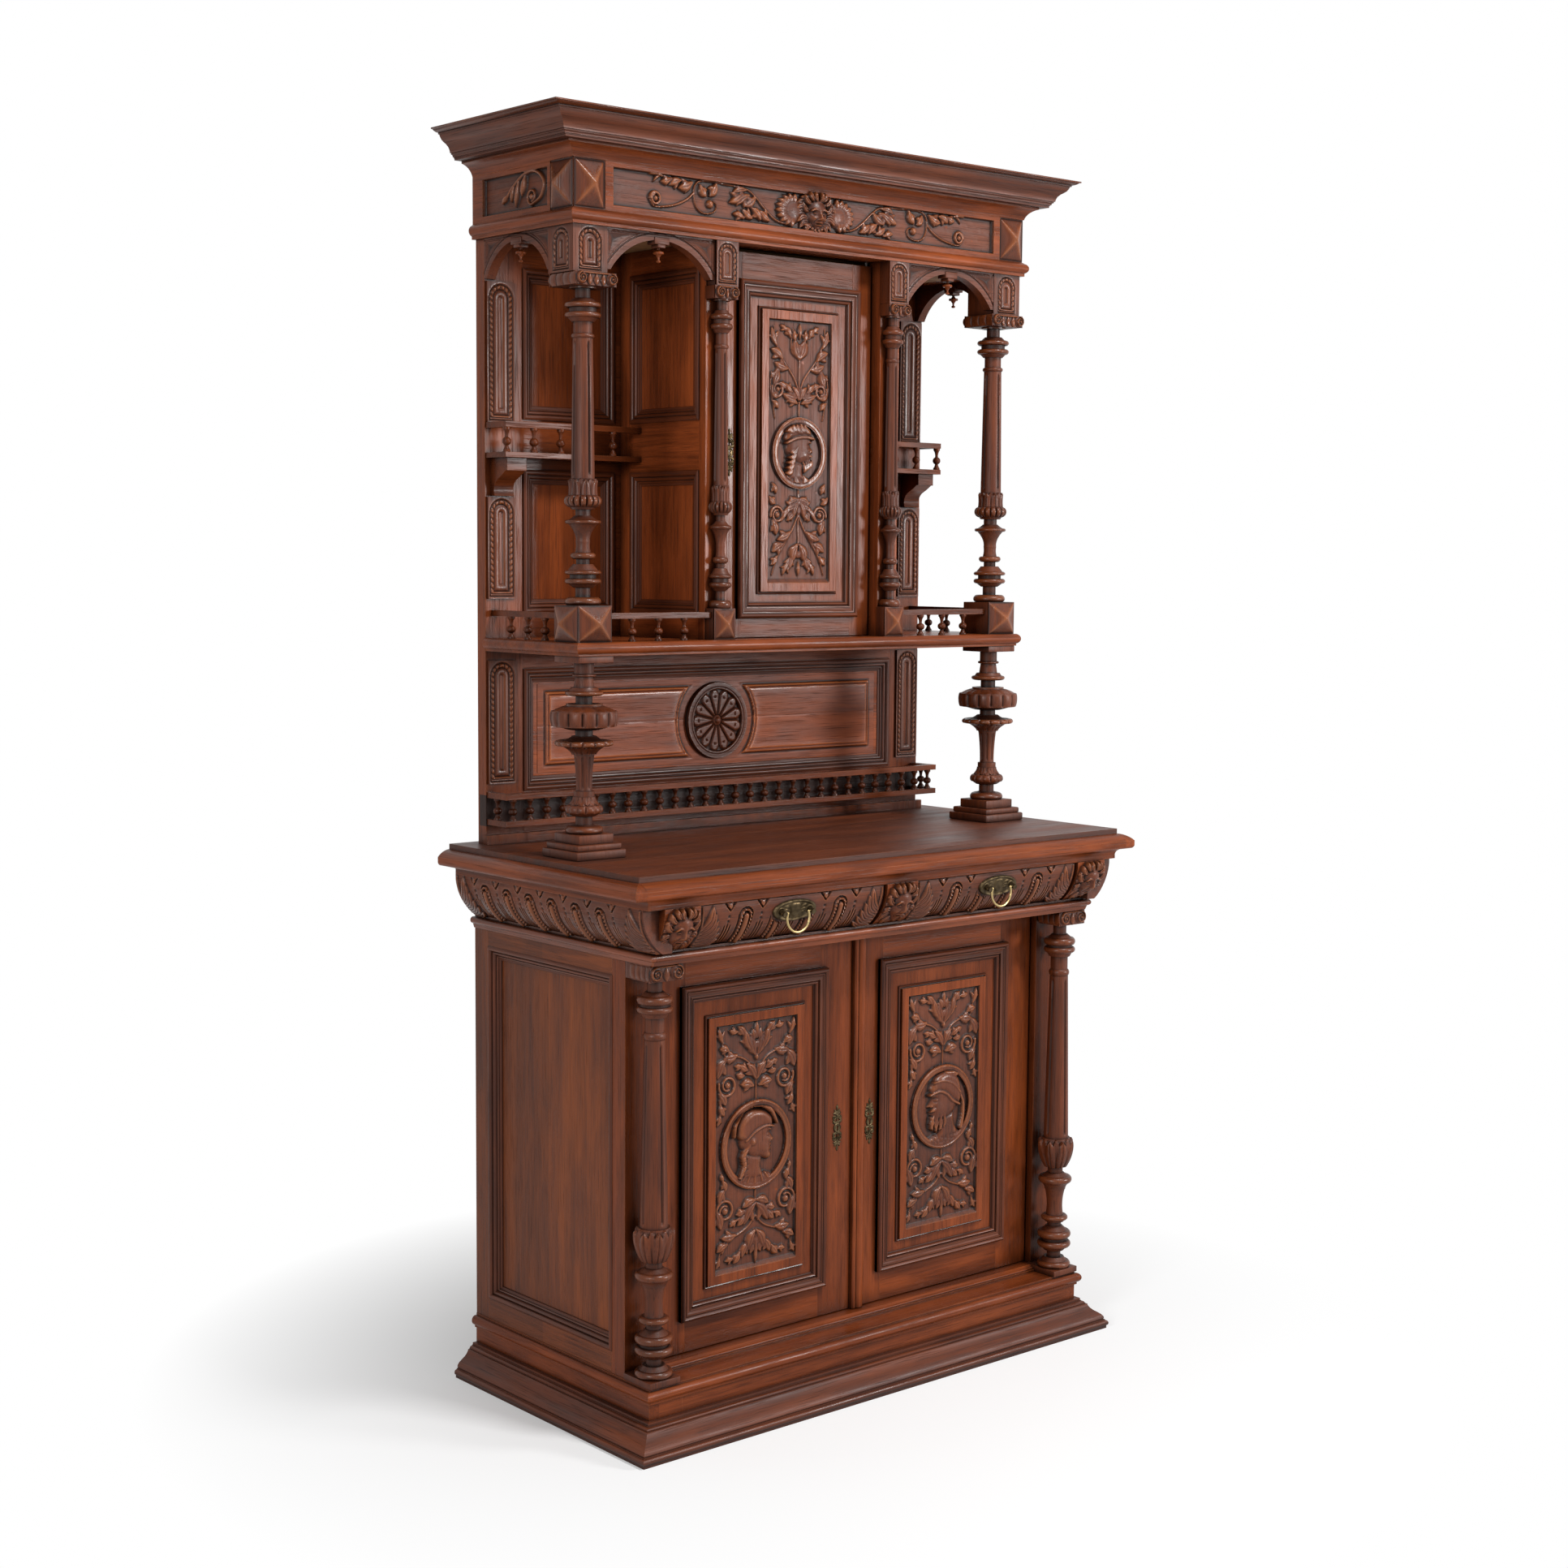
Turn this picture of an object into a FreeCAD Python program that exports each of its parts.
"""Carved oak serving cabinet: a two-door base with drawers, a table top and an open upper stage.

Millimetres, +Z up.  X runs left to right, the front looks along -Y, and depths are counted
forward from the rear of the base.  The origin lies on the floor under the middle of the cabinet.
"""
import FreeCAD
import Part
import math
import os

V = FreeCAD.Vector

# Overall size and the main planes
BASE_FACE = 563.0
TABLE_REACH = 68.0
DEPTH = BASE_FACE + TABLE_REACH
UPPER_FACE = 350.0
REAR = DEPTH / 2
PLAY = 0.4
DOOR_GAP = 2.0
PIN_CLEARANCE = 0.05

# Base case: heights of its layers
BASE_TOP = 93.0
SILL_H = 28.0
SILL_TOP = BASE_TOP + SILL_H
STEP_H = 12.0
STEP_TOP = SILL_TOP + STEP_H
DOOR_BAY_H = 759.0
WAIST_LOW = STEP_TOP + DOOR_BAY_H
WAIST_H = 26.0
WAIST_TOP = WAIST_LOW + WAIST_H
APRON_H = 82.0
APRON_TOP = WAIST_TOP + APRON_H
COVE_H = 20.0
COVE_TOP = APRON_TOP + COVE_H
EDGE_H = 30.0
EDGE_TOP = COVE_TOP + EDGE_H
TABLE_LIP = 10.0
TABLE_TOP = EDGE_TOP + TABLE_LIP

# Base case: plan
BASE_HALF = 563.0
BASE_RAIL = 22.0
CORNER_BLOCK_W = 76.0
CORNER_BLOCK_D = 66.0
SIDE_SET = 1.0
SIDE_X = BASE_HALF - SIDE_SET
SIDE_THICK = 22.0
PANEL_THICK = 10.0
POST_W = 55.0
POST_D = 40.0
POST_SET = 75.0
POST_FACE = BASE_FACE - POST_SET
BACK_THICK = 14.0
SIDE_STILE = 60.0
SIDE_RAIL_LOW = 30.0
SIDE_PANEL_LOW = STEP_TOP + SIDE_RAIL_LOW
SIDE_RAIL_TOP = 32.0
SIDE_PANEL_TOP = WAIST_LOW - SIDE_RAIL_TOP
SIDE_PANEL_REAR = 46.0
SIDE_STILE_FRONT = 31.0
SIDE_PANEL_FRONT = POST_FACE - SIDE_STILE_FRONT
SIDE_SEAM = 228.0
PLINTH_OUT = 52.0
PLINTH_TOP = 63.0
NOSING_OUT = 11.0
SILL_STEP_SET = 51.0
SILL_STEP_FRONT = BASE_FACE - SILL_STEP_SET
SILL_STEP_IN = 67.0
SILL_STEP_HALF = SIDE_X - SILL_STEP_IN
REED = 4.0
LOWER_SHELF_RISE = 367.0
LOWER_SHELF_Z = STEP_TOP + LOWER_SHELF_RISE
SHELF_THICK = 18.0
BEARER = 16.0

# Base doors
DOOR_SET = 88.0
DOOR_FACE = BASE_FACE - DOOR_SET
DOOR_THICK = 24.0
DOOR_LIFT = 1.5
DOOR_LOW = STEP_TOP + DOOR_LIFT
DOOR_TOP = WAIST_LOW - DOOR_GAP
POST_SIDE = SIDE_X - POST_W
DOOR_SHY = 2.2
DOOR_EDGE = POST_SIDE - DOOR_SHY
DOOR_STILE = 94.8
DOOR_STILE_IN = DOOR_EDGE - DOOR_STILE
DOOR_MEET_STILE = 65.0
DOOR_MARGIN_OUT = 77.3
DOOR_MOULD_OUT = DOOR_EDGE - DOOR_MARGIN_OUT
DOOR_MOULD_IN = 69.5
DOOR_RAIL_LOW = 60.5
DOOR_MOULD_LOW = DOOR_LOW + DOOR_RAIL_LOW
DOOR_RAIL_TOP = 63.5
DOOR_MOULD_TOP = DOOR_TOP - DOOR_RAIL_TOP
MOULD_WIDTH = 30.0
MOULD_RISE = 13.0
FIELD_MARGIN_IN = 60.0
FIELD_IN = DOOR_MOULD_IN + FIELD_MARGIN_IN
FIELD_MARGIN_OUT = 63.5
FIELD_OUT = DOOR_MOULD_OUT - FIELD_MARGIN_OUT
FIELD_MARGIN_LOW = 56.5
FIELD_LOW = DOOR_MOULD_LOW + FIELD_MARGIN_LOW
FIELD_MARGIN_TOP = 65.5
FIELD_TOP = DOOR_MOULD_TOP - FIELD_MARGIN_TOP
FIELD_RISE = 8.0
FIELD_BORDER = 17.0
FIELD_SINK = 6.0
MEDAL_RISE = 371.5
MEDAL_Z = DOOR_LOW + MEDAL_RISE
MEDAL_R = 86.0
MEDAL_RING = 13.0
ASTRAGAL_W = 30.0
ASTRAGAL_RISE = 12.0
DOOR_ROUND = 5.0
PIVOT_INSET = 9.0
PIVOT_R = 3.5
PIVOT_LONG = 12.0
PIVOT_PLATE = 3.0

# Brass
ESCUTCHEON_H = 90.0
ESCUTCHEON_W = 24.0
ESCUTCHEON_THICK = 1.6
KEY_RISE = 369.5
ESCUTCHEON_Z = DOOR_LOW + KEY_RISE
ESCUTCHEON_X_LEFT = -36.0
ESCUTCHEON_X_RIGHT = 50.0
KEYHOLE_R = 3.0
KEYHOLE_SLOT = 9.0
LOCK_W = 46.0
LOCK_H = 70.0
LOCK_THICK = 12.0
BOLT_H = 16.0
BOLT_THICK = 5.0
BOLT_LONG = 34.0
BOLT_THROW = 9.0

# Drawers, mask blocks and aprons
APRON_STEP = 6.0
APRON_FRONT_LOW = BASE_FACE + APRON_STEP
APRON_SWELL = 44.0
APRON_END_STEP = 35.0
APRON_END = BASE_FACE + APRON_END_STEP
MASK_HALF = 40.0
MASK_STEP = 9.0
MASK_OUT = SIDE_X + MASK_STEP
MASK_PROUD = 3.0
MASK_BLOCK_SET = 27.0
MASK_BACK = BASE_FACE - MASK_BLOCK_SET
DRAWER_SHY = 4.0
DRAWER_IN = MASK_HALF + DRAWER_SHY
MASK_W = 84.0
DRAWER_OUT = MASK_OUT - MASK_W
DRAWER_LIFT = 2.0
DRAWER_FRONT_SET = 18.0
DRAWER_FRONT_BACK = BASE_FACE - DRAWER_FRONT_SET
DRAWER_REAR = 70.0
DRAWER_WALL = 12.0
DRAWER_BOTTOM = 7.0
DRAWER_BOX_SET = 10.0
DRAWER_BOX_IN = DRAWER_IN + DRAWER_BOX_SET
DRAWER_BOX_OUT = DRAWER_OUT - DRAWER_BOX_SET
DRAWER_BOX_DROP = 16.0
DRAWER_BOX_TOP = APRON_TOP - DRAWER_BOX_DROP
GUIDE_W = 8.0
PULL_RISE = 54.0
PULL_Z = WAIST_TOP + PULL_RISE
PULL_X = (DRAWER_IN + DRAWER_OUT) / 2
PULL_PLATE_W = 102.0
PULL_PLATE_H = 42.0
PULL_THICK = 2.5
PULL_POST_X = 34.5
PULL_POST_R = 5.0
PULL_POST_LONG = 15.0
BAIL_DROP = 37.0
BAIL_R = 2.4
BAIL_PIN_R = 1.6

# Table top
TABLE_OUT = 84.0
TABLE_STEP = 58.0
PLANK_THICK = 20.0
PLANK_LOW = TABLE_TOP - PLANK_THICK
TOP_RAIL = 60.0

# Upper stage: heights
GALLERY_RISE = 38.0
GALLERY_RAIL_LOW = TABLE_TOP + GALLERY_RISE
GALLERY_H = 52.0
GALLERY_RAIL_TOP = GALLERY_RAIL_LOW + GALLERY_H
RAIL_THICK = 11.0
SKIRT_H = 18.0
SKIRT_TOP = TABLE_TOP + SKIRT_H
LOW_PANEL_RISE = 100.0
LOW_PANEL_LOW = TABLE_TOP + LOW_PANEL_RISE

BALUSTER_BAY_H = 359.0
PLATE_LOW = TABLE_TOP + BALUSTER_BAY_H
LOW_PANEL_DROP = 25.0
LOW_PANEL_TOP = PLATE_LOW - LOW_PANEL_DROP
PLATE_H = 12.5
SHELF_LOW = PLATE_LOW + PLATE_H
MAIN_SHELF_H = 25.0
SHELF_TOP = SHELF_LOW + MAIN_SHELF_H
FOOT_H = 67.0
FOOT_TOP = SHELF_TOP + FOOT_H
SHAFT_H = 573.5
SLAB_LOW = FOOT_TOP + SHAFT_H
SLAB_H = 24.0
SLAB_TOP = SLAB_LOW + SLAB_H
CAP_H = 83.0
CAP_TOP = SLAB_TOP + CAP_H
TORUS_H = 28.0
TORUS_TOP = CAP_TOP + TORUS_H
FRIEZE_H = 88.0
FRIEZE_TOP = TORUS_TOP + FRIEZE_H
FRIEZE_COVE_H = 26.0
COVE_LIP = FRIEZE_TOP + FRIEZE_COVE_H
CORNICE_H = 54.0
CORNICE_TOP = COVE_LIP + CORNICE_H
NICHE_SHELF_RISE = 350.5
NICHE_SHELF_TOP = SHELF_TOP + NICHE_SHELF_RISE
NICHE_BELOW = 31.0
NICHE_LOW_TOP = NICHE_SHELF_TOP - NICHE_BELOW
NICHE_ABOVE = 67.0
NICHE_UP_LOW = NICHE_SHELF_TOP + NICHE_ABOVE
NICHE_TOP_DROP = 48.0
NICHE_UP_TOP = CAP_TOP - NICHE_TOP_DROP
NICHE_LOW_RISE = 47.5
NICHE_LOW_LOW = SHELF_TOP + NICHE_LOW_RISE

NICHE_SHELF_THICK = 10.0
NICHE_RAIL_RISE = 46.0
NICHE_RAIL_LOW = NICHE_SHELF_TOP + NICHE_RAIL_RISE
SHELF_RAIL_RISE = 42.0
SHELF_RAIL_LOW = SHELF_TOP + SHELF_RAIL_RISE

# Upper stage: plan
UPPER_REAR = 26.0
UPPER_BACK = 27.0
UPPER_X = 570.0
STRIP_SET = 4.0
STRIP_OUT = UPPER_X - STRIP_SET
STRIP_W = 62.0
STRIP_IN = STRIP_OUT - STRIP_W
STRIP_THICK = 6.0
LOW_PANEL_SET = 97.0
LOW_PANEL_HALF = UPPER_X - LOW_PANEL_SET
NICHE_PANEL_SET = 88.0
NICHE_PANEL_OUT = UPPER_X - NICHE_PANEL_SET
NICHE_PANEL_IN = 268.0
SKIRT_PROUD = 6.0
SKIRT_HALF = UPPER_X + SKIRT_PROUD
SKIRT_FRONT = 66.0
GALLERY_FRONT = 119.0
GALLERY_SET = 2.0
GALLERY_HALF = UPPER_X - GALLERY_SET
GALLERY_RAIL_W = 14.0
SPINDLE_R = 8.5
BALUSTER_IN = 42.0
BALUSTER_X = UPPER_X - BALUSTER_IN
BALUSTER_SET = 35.0
BALUSTER_D = UPPER_FACE - BALUSTER_SET
BALUSTER_R = 62.0
BALUSTER_PLINTH = 112.0
BALUSTER_MID = 100.0
BALUSTER_BLOCK = 78.0
PLINTH_RISE_1 = 16.0
PLINTH_STEP_1 = TABLE_TOP + PLINTH_RISE_1
PLINTH_RISE_2 = 11.0
PLINTH_STEP_2 = PLINTH_STEP_1 + PLINTH_RISE_2
PLINTH_RISE_3 = 17.0
BALUSTER_LOW = PLINTH_STEP_2 + PLINTH_RISE_3
CORNER_PLATE = 78.0
SHELF_IN = 4.0
SHELF_HALF = UPPER_X - SHELF_IN
SHELF_PROUD = 2.0
SHELF_FRONT = UPPER_FACE + SHELF_PROUD
COLUMN_IN = 41.0
COLUMN_X = UPPER_X - COLUMN_IN
COLUMN_SET = 37.0
COLUMN_D = UPPER_FACE - COLUMN_SET
COLUMN_R = 33.6
FOOT_SIDE = 72.0
PYRAMID_RISE = 5.0
SLAB_SIDE = 90.0
CAP_IN = 35.0
CAP_X = UPPER_X - CAP_IN
CAP_SET = 44.0
CAP_D = UPPER_FACE - CAP_SET
CAP_SIDE = 74.0
LOWER_COLUMN_IN = 32.0
LOWER_COLUMN_X = SIDE_X - LOWER_COLUMN_IN
LOWER_COLUMN_SET = 30.0
LOWER_COLUMN_D = BASE_FACE - LOWER_COLUMN_SET
LOWER_COLUMN_R = 35.0
LOWER_SLAB_H = 30.0
LOWER_COLUMN_TOP = WAIST_LOW - LOWER_SLAB_H
LOWER_BLOCK = 70.0
LOWER_SLAB_HALF = 38.0
LOWER_SLAB_IN = LOWER_COLUMN_X - LOWER_SLAB_HALF
LOWER_SLAB_OUT = LOWER_COLUMN_X + LOWER_SLAB_HALF
LOWER_SLAB_BACK = 28.0
LOWER_SLAB_REAR = LOWER_COLUMN_D - LOWER_SLAB_BACK
LOWER_SLAB_FORE = 38.0
LOWER_SLAB_FRONT = LOWER_COLUMN_D + LOWER_SLAB_FORE
SLAB_TONGUE = 18.0
SLAB_TONGUE_IN = LOWER_COLUMN_X - SLAB_TONGUE

# Upper cupboard
CUP_SIDE_X = 250.0
CUP_SIDE_THICK = 14.0
CUP_POST_IN = 198.0
CUP_POST_OUT = 236.0

CUP_POST_SET = 29.0
CUP_POST_FACE = UPPER_FACE - CUP_POST_SET
CUP_POST_D = 59.0
CUP_POST_REAR = CUP_POST_FACE - CUP_POST_D
CUP_DOOR_SET = 23.0
CUP_DOOR_FACE = CUP_POST_FACE - CUP_DOOR_SET
CUP_DOOR_THICK = 22.0
CUP_DOOR_EDGE = 195.8
CUP_DOOR_LIFT = 1.5
CUP_DOOR_LOW = SHELF_TOP + CUP_DOOR_LIFT
CUP_DOOR_DROP = 8.0
CUP_DOOR_TOP = CAP_TOP - CUP_DOOR_DROP
CUP_STILE_IN = 140.0
CUP_MOULD_HALF = 156.0
CUP_RAIL_LOW = 37.0
CUP_MOULD_LOW = CUP_DOOR_LOW + CUP_RAIL_LOW
CUP_RAIL_TOP = 51.0
CUP_MOULD_TOP = CUP_DOOR_TOP - CUP_RAIL_TOP
CUP_FIELD_HALF = 98.0
CUP_MARGIN_LOW = 52.0
CUP_FIELD_LOW = CUP_MOULD_LOW + CUP_MARGIN_LOW
CUP_MARGIN_TOP = 53.0
CUP_FIELD_TOP = CUP_MOULD_TOP - CUP_MARGIN_TOP
CUP_MEDAL_RISE = 360.0
CUP_MEDAL_Z = CUP_DOOR_LOW + CUP_MEDAL_RISE
CUP_MEDAL_R = 70.0
CUP_PANEL_REAR = 87.0
CUP_PANEL_SET = 20.0
CUP_PANEL_FRONT = CUP_POST_FACE - CUP_PANEL_SET
CUP_SHELF_RISE = 359.5
CUP_SHELF_Z = SHELF_TOP + CUP_SHELF_RISE
ENGAGED_X = 221.5
ENGAGED_SET = 18.0
ENGAGED_D = UPPER_FACE - ENGAGED_SET
ENGAGED_R = 22.0
ENGAGED_SIDE = 52.0
ENGAGED_SLAB = 60.0
ENGAGED_FRONT = UPPER_FACE
ENGAGED_FOOT_H = 59.5
ENGAGED_FOOT_TOP = SHELF_TOP + ENGAGED_FOOT_H
CUP_ESCUTCHEON_X = -173.0
CUP_KEY_RISE = 357.5
CUP_ESCUTCHEON_Z = SHELF_TOP + CUP_KEY_RISE
ROSETTE_R = 80.0
ROSETTE_RISE = 10.0
ROSETTE_BOSS = 16.0
ROSETTE_LIFT = 0.5
STRIP_1_RISE = 116.0
STRIP_1_LOW = TABLE_TOP + STRIP_1_RISE
STRIP_1_DROP = 6.0
STRIP_1_TOP = PLATE_LOW - STRIP_1_DROP
STRIP_2_GAP = 21.5
STRIP_2_LOW = SHELF_RAIL_LOW + RAIL_THICK + STRIP_2_GAP
STRIP_2_DROP = 83.0
STRIP_2_TOP = NICHE_SHELF_TOP - STRIP_2_DROP
STRIP_3_LOW = NICHE_RAIL_LOW + RAIL_THICK
STRIP_3_DROP = 77.0
STRIP_3_TOP = CAP_TOP - STRIP_3_DROP
GALLERY_COUNT = 29
NICHE_COUNT = 5
SHELF_COUNT = 3

# Niches, arches, frieze and cornice
NICHE_SHELF_FRONT = 121.0
NICHE_SHELF_IN = 2.0
NICHE_SHELF_OUT = UPPER_X - NICHE_SHELF_IN
BRACKET_IN = 35.0
BRACKET_X = UPPER_X - BRACKET_IN
BRACKET_W = 44.0
BRACKET_OUT = 56.0
BRACKET_H = 81.0
BRACKET_LOW = NICHE_SHELF_TOP - BRACKET_H
SIDE_RAIL_IN = 21.0
SIDE_RAIL_X = UPPER_X - SIDE_RAIL_IN
FRONT_RAIL_SET = 17.0
FRONT_RAIL_D = UPPER_FACE - FRONT_RAIL_SET
GALLERY_RAIL_SLIM = 13.0
ARCH_THICK = 20.0
ARCH_CROWN_DROP = 12.0
ARCH_CROWN = CAP_TOP - ARCH_CROWN_DROP
ARCH_FOOT_DROP = 74.0
ARCH_FOOT = CAP_TOP - ARCH_FOOT_DROP
ARCH_LEG = 9.0
PENDANT_DROP = 40.0
PENDANT_LOW = ARCH_CROWN - PENDANT_DROP
PENDANT_R = 10.0
FRIEZE_PROUD = 7.0
FRIEZE_X = UPPER_X + FRIEZE_PROUD
FRIEZE_D = UPPER_FACE
FRIEZE_BLOCK = 71.0
FRIEZE_BOARD = 22.0
FRIEZE_PANEL_SET = 82.0
FRIEZE_PANEL_HALF = UPPER_X - FRIEZE_PANEL_SET
FRIEZE_MARGIN_LOW = 11.0
FRIEZE_PANEL_LOW = TORUS_TOP + FRIEZE_MARGIN_LOW
FRIEZE_MARGIN_TOP = 9.0
FRIEZE_PANEL_TOP = FRIEZE_TOP - FRIEZE_MARGIN_TOP
FRIEZE_SIDE_REAR = 60.0
FRIEZE_SIDE_SET = 80.0
FRIEZE_SIDE_FRONT = FRIEZE_D - FRIEZE_SIDE_SET
FRIEZE_SINK = 8.0
TORUS_OUT = 9.0
ENTABLATURE_RAIL = 70.0
CORNICE_OUT_SIDE = 91.0
CORNICE_OUT_FRONT = 77.0
CORNICE_COVE_OUT = 24.0
DUST_DROP = 18.0
DUST_LOW = CORNICE_TOP - DUST_DROP
DUST_THICK = 12.0
CLEAT_LONG = 60.0
CLEAT_RISE = 6.0
CLEAT_TOP = CORNICE_TOP + CLEAT_RISE
CLEAT_IN = 100.0
CLEAT_X = UPPER_X - CLEAT_IN
SOFFIT_THICK = 10.0

# Turned work, bottom to top: height share, then radius shares at the foot, the middle and the top
UPPER_COLUMN_SHARES = [
    (15, 0.86, 1.0, 0.80), (17, 0.41, None, 0.41), (7, 0.52, None, 0.80), (10, 0.86, 1.0, 0.86),
    (7, 0.72, None, 0.72), (8, 0.86, 1.0, 0.84), (11, 0.82, None, 0.56), (9, 0.37, None, 0.37),
    (12, 0.50, 0.69, 0.54), (20, 0.45, 0.385, 0.44), (32, 0.46, 0.54, 0.76), (7, 0.88, 0.975, 0.88),
    (8, 0.80, 0.60, 0.47), (11, 0.41, None, 0.41), (6, 0.60, None, 0.80), (14, 0.88, 1.0, 0.90),
    (28, 0.84, 0.76, 0.74), (260, 0.665, None, 0.535), (8, 0.56, 0.635, 0.56), (21, 0.51, None, 0.51),
    (7, 0.60, None, 0.80), (10, 0.86, 0.99, 0.86), (8, 0.735, None, 0.735), (10, 0.86, 0.99, 0.86),
    (7, 0.76, None, 0.54), (17, 0.41, None, 0.41), (3, 0.75, None, 0.75)]
BALUSTER_SHARES = [
    (14, 0.50, 0.56, 0.45), (2, 0.34, None, 0.30), (16, 0.255, None, 0.255), (6, 0.36, None, 0.50),
    (14, 0.53, 0.56, 0.50), (16, 0.46, 0.34, 0.30), (10, 0.31, None, 0.31), (68, 0.24, 0.255, 0.31),
    (16, 0.33, 0.43, 0.66), (10, 0.80, 0.87, 0.78), (8, 0.60, 0.45, 0.37), (11, 0.265, None, 0.265),
    (7, 0.44, None, 0.84), (28, 0.96, 1.0, 0.98), (9, 0.92, 0.80, 0.60), (4, 0.54, None, 0.54),
    (15, 0.25, None, 0.25), (9, 0.48, 0.57, 0.50), (6, 0.46, None, 0.40), (20, 0.31, None, 0.265),
    (5, 0.32, 0.36, 0.32), (21, 0.29, None, 0.29)]
LOWER_COLUMN_SHARES = [
    (13, 0.90, 1.0, 0.86), (8, 0.76, None, 0.60), (14, 0.41, None, 0.41), (7, 0.60, None, 0.78),
    (14, 0.86, 1.0, 0.86), (6, 0.735, None, 0.735), (16, 0.84, 1.0, 0.84), (10, 0.76, None, 0.46),
    (8, 0.41, None, 0.41), (4, 0.56, None, 0.60), (11, 0.66, 0.80, 0.62), (55, 0.43, 0.44, 0.58),
    (14, 0.62, 0.70, 0.82), (14, 0.88, 0.98, 0.88), (8, 0.76, None, 0.48), (12, 0.45, None, 0.45),
    (62, 0.84, 0.96, 0.86), (343, 0.69, None, 0.505), (14, 0.52, 0.61, 0.52), (27, 0.505, None, 0.505),
    (9, 0.62, None, 0.76), (11, 0.84, 0.93, 0.84), (5, 0.74, None, 0.74), (14, 0.84, 0.93, 0.82),
    (8, 0.72, None, 0.46), (20, 0.39, None, 0.39), (2, 0.60, None, 0.60)]
SPINDLE_SHARES = [
    (4, 0.88, None, 0.80), (7, 0.72, 0.50, 0.40), (13, 0.48, 1.0, 0.48), (4, 0.40, None, 0.36),
    (9, 0.38, 0.48, 0.74), (4, 0.84, None, 0.84)]
PENDANT_SHARES = [
    (5, 0.20, 0.42, 0.22), (6, 0.18, None, 0.24), (5, 0.30, None, 0.60), (5, 0.90, 1.0, 0.90),
    (4, 0.60, None, 0.30), (6, 0.30, None, 0.30), (4, 0.60, 0.72, 0.60), (3, 0.40, None, 0.40),
    (4, 0.75, None, 0.75)]


def at(x, depth, z):
    """Point from a side place, a depth counted from the rear, and a height."""
    return V(x, REAR - depth, z)


def box(x0, x1, d0, d1, z0, z1):
    return Part.makeBox(x1 - x0, d1 - d0, z1 - z0, at(x0, d1, z0))


def mirrored(shape):
    return shape.mirror(V(0, 0, 0), V(1, 0, 0))


def both(shape):
    return [mirrored(shape), shape]


def outline_face(points, place):
    """Planar face from (u, v) corners; a third item is the middle point of the arc to that corner."""
    corners = [place(p[0], p[1]) for p in points]
    edges = []
    for index, point in enumerate(points):
        start = corners[index - 1]
        end = corners[index]
        if len(point) > 2:
            middle = place(point[2][0], point[2][1])
            edges.append(Part.Arc(start, middle, end).toShape())
        else:
            edges.append(Part.LineSegment(start, end).toShape())
    return Part.Face(Part.Wire(Part.__sortEdges__(edges)))


def run_x(points, x0, x1):
    """Profile in (depth, height) carried along X."""
    return outline_face(points, lambda d, z: at(x0, d, z)).extrude(V(x1 - x0, 0, 0))


def run_depth(points, d0, d1):
    """Profile in (x, height) carried forward from depth d0 to d1."""
    return outline_face(points, lambda x, z: at(x, d0, z)).extrude(V(0, d0 - d1, 0))


def run_up(points, z0, z1):
    """Plan in (x, depth) carried up."""
    return outline_face(points, lambda x, d: at(x, d, z0)).extrude(V(0, 0, z1 - z0))


def shifted(points, u_scale, u_shift):
    """Profile with its first coordinate scaled and moved."""
    moved = []
    for point in points:
        first = (u_shift + u_scale * point[0], point[1])
        if len(point) > 2:
            first = first + ((u_shift + u_scale * point[2][0], point[2][1]),)
        moved.append(first)
    return moved


def mitred_run(points, half, face, rear, inner, out_side, out_front):
    """Moulding round the front and both sides; profile counted out from the faces it sits on.

    inner is how far the strip reaches behind the face, and out_side and out_front its overhangs.
    """
    ratio = out_front / out_side
    low = min(p[1] for p in points)
    high = max(p[1] for p in points)
    inner_front = inner * ratio
    plan_front = [(-half - out_side, face + out_front), (half + out_side, face + out_front),
                  (half - inner, face - inner_front), (inner - half, face - inner_front)]
    plan_side = [(half - inner, rear), (half + out_side, rear), (half + out_side, face + out_front),
                 (half - inner, face - inner_front)]
    front = run_x(shifted(points, ratio, face), -half - out_side, half + out_side)
    front = front.common(run_up(plan_front, low, high))
    side = run_depth(shifted(points, 1.0, half), rear, face + out_front)
    side = side.common(run_up(plan_side, low, high))
    return [front.Solids[0], mirrored(side.Solids[0]), side.Solids[0]]


def turned(x, depth, low, high, radius, shares):
    """Lathe-turned piece on an upright axis."""
    whole = float(sum(row[0] for row in shares))
    unit = (high - low) / whole
    edges = []
    previous = at(x, depth, low)
    height = low
    for share, foot, middle, top in shares:
        start = at(x + foot * radius, depth, height)
        end = at(x + top * radius, depth, height + share * unit)
        if (start - previous).Length > 1e-6:
            edges.append(Part.LineSegment(previous, start).toShape())
        if middle is None:
            edges.append(Part.LineSegment(start, end).toShape())
        else:
            bulge = at(x + middle * radius, depth, height + share * unit / 2)
            edges.append(Part.Arc(start, bulge, end).toShape())
        previous = end
        height = height + share * unit
    tip = at(x, depth, high)
    edges.append(Part.LineSegment(previous, tip).toShape())
    edges.append(Part.LineSegment(tip, at(x, depth, low)).toShape())
    face = Part.Face(Part.Wire(edges))
    return face.revolve(at(x, depth, low), V(0, 0, 1), 360)


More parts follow.
